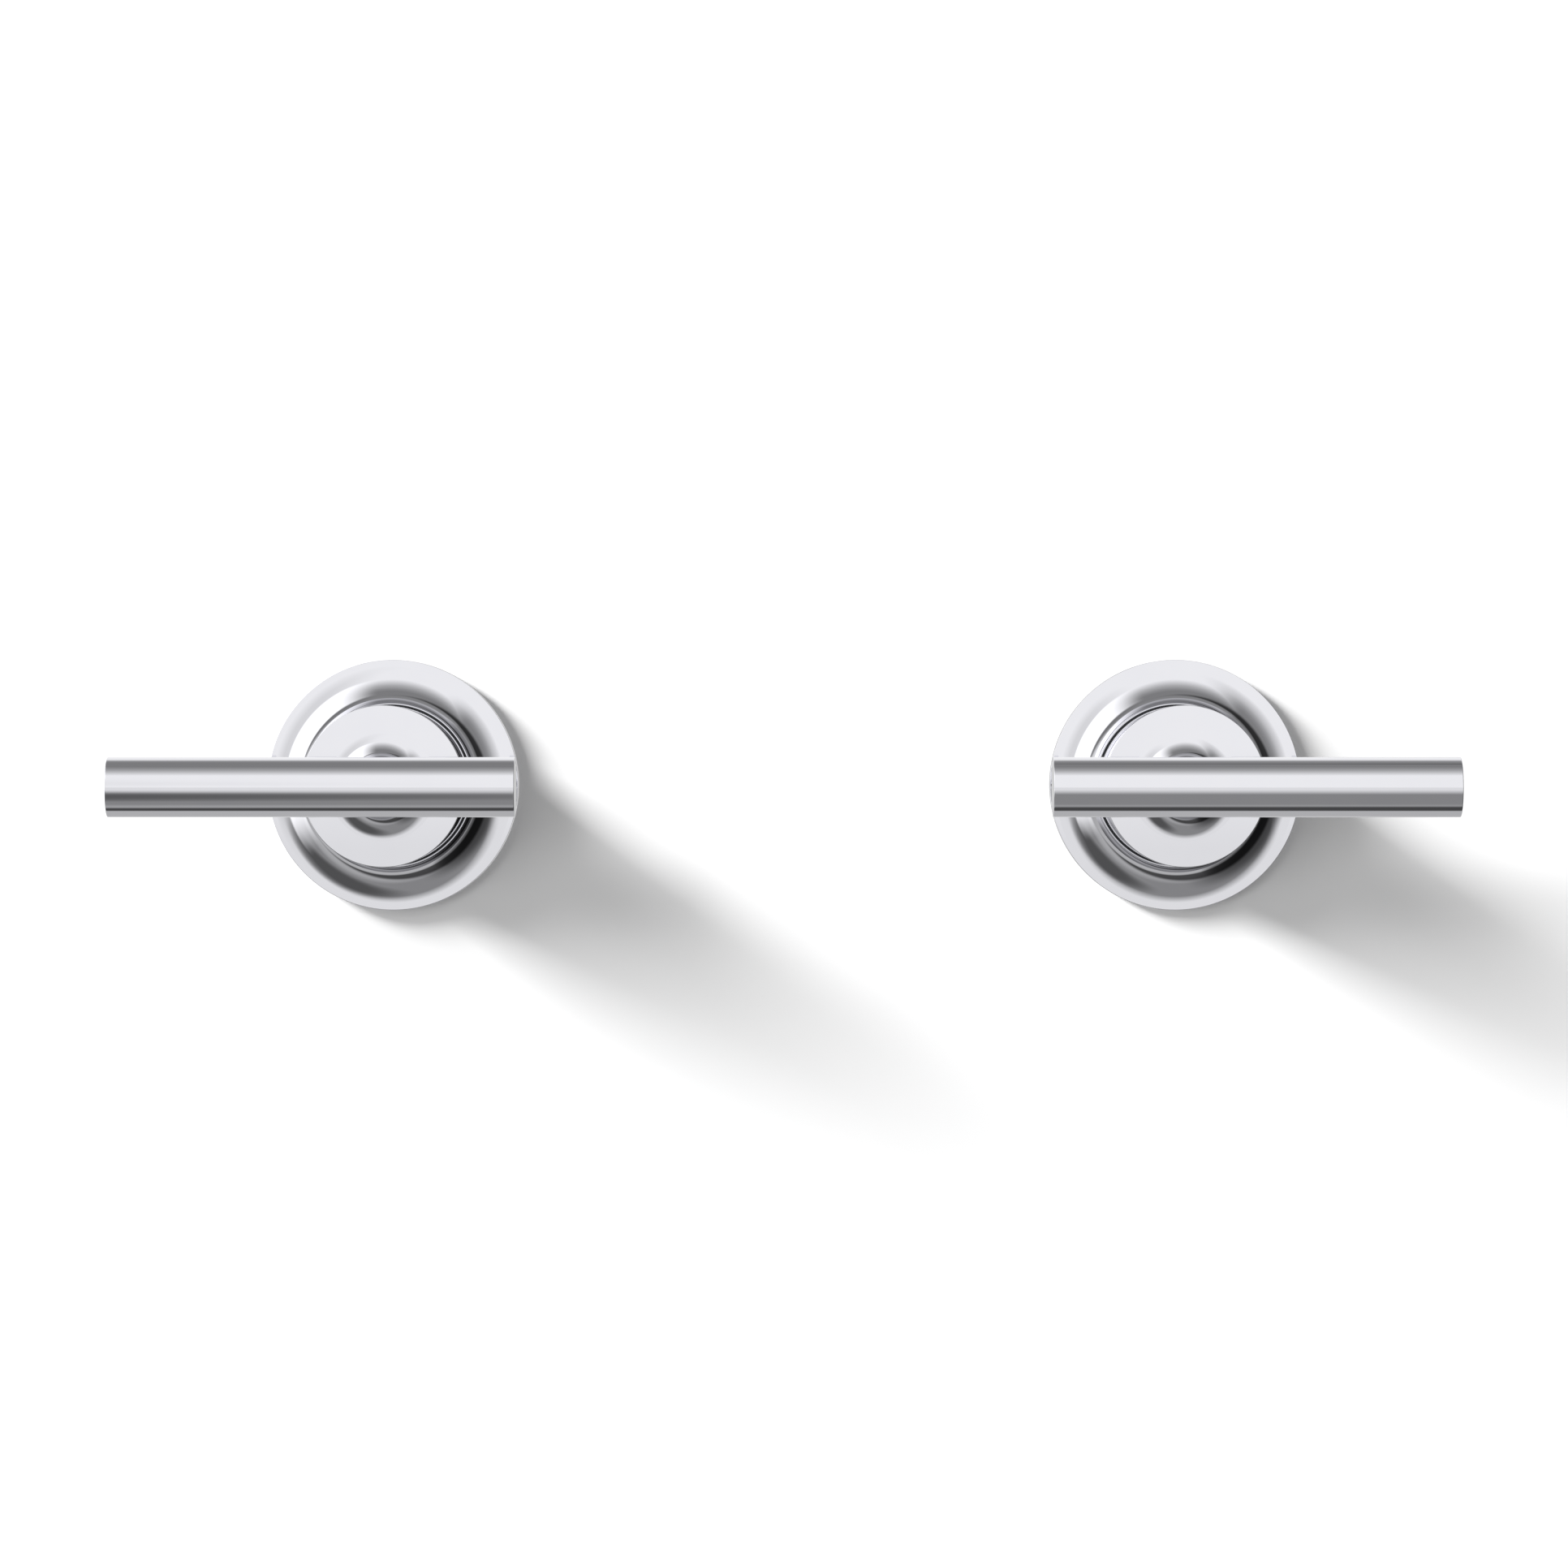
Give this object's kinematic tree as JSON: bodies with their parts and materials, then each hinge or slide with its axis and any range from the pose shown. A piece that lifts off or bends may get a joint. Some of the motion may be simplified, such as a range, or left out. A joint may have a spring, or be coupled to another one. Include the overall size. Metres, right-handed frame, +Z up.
{
  "type": "door lever handle",
  "caption": "Mirrored polished chrome lever handles, each a round bar on a coved neck and turned hub over a flared round rose, pressed down against a return spring.",
  "frame": {"origin": "midway between the two spindles, on the door face, at the centre of the bolt pattern", "axes": "+X along the pair to the right as seen from the user's side, +Z up, -Y out of the door towards the user"},
  "size_m": [0.3372, 0.1227, 0.065],
  "materials": {
    "chrome": "polished brass with bright nickel and chrome plate",
    "zinc_steel": "bright zinc plated steel",
    "black_steel": "black oxide steel",
    "drawn_steel": "cold drawn and turned steel",
    "spring_steel": "oiled spring wire",
    "brass": "turned brass",
    "bush_plastic": "moulded acetal",
    "rubber": "black nitrile rubber"
  },
  "bodies": {
    "door_side": {"left_thrust_washer": "bush_plastic", "left_upper_bush": "bush_plastic", "left_lower_bush": "bush_plastic", "left_bearing_tower": "brass", "left_stop_ring": "drawn_steel", "left_return_spring": "spring_steel", "left_mounting_plate": "zinc_steel", "left_tower_screws": "zinc_steel", "left_grip_ring": "rubber", "left_rose": "chrome", "left_bolt_washers": "zinc_steel", "left_fixing_bolts": "zinc_steel", "right_thrust_washer": "bush_plastic", "right_upper_bush": "bush_plastic", "right_lower_bush": "bush_plastic", "right_bearing_tower": "brass", "right_stop_ring": "drawn_steel", "right_return_spring": "spring_steel", "right_mounting_plate": "zinc_steel", "right_tower_screws": "zinc_steel", "right_grip_ring": "rubber", "right_rose": "chrome", "right_bolt_washers": "zinc_steel", "right_fixing_bolts": "zinc_steel"},
    "left_lever": {"left_lever_bar": "chrome", "left_hub": "chrome", "left_bar_screw": "zinc_steel", "left_drive_sleeve": "drawn_steel", "left_sleeve_screws": "zinc_steel", "left_grub_screw": "black_steel", "left_spindle": "drawn_steel", "left_stop_pin": "drawn_steel"},
    "right_lever": {"right_lever_bar": "chrome", "right_hub": "chrome", "right_bar_screw": "zinc_steel", "right_drive_sleeve": "drawn_steel", "right_sleeve_screws": "zinc_steel", "right_grub_screw": "black_steel", "right_spindle": "drawn_steel", "right_stop_pin": "drawn_steel"}
  },
  "joints": [
    {"name": "left_lever_turn", "type": "hinge", "parent": "door_side", "child": "left_lever", "pos_m": [-0.1016, 0, 0], "axis": [0, -1, 0], "range_deg": [0, 45], "stiffness_Nm_per_rad": 0.54, "springref_deg": -28.65, "deforming": ["left_return_spring"]},
    {"name": "right_lever_turn", "type": "hinge", "parent": "door_side", "child": "right_lever", "pos_m": [0.1016, 0, 0], "axis": [0, 1, 0], "range_deg": [0, 45], "stiffness_Nm_per_rad": 0.54, "springref_deg": -28.65, "deforming": ["right_return_spring"]}
  ]
}
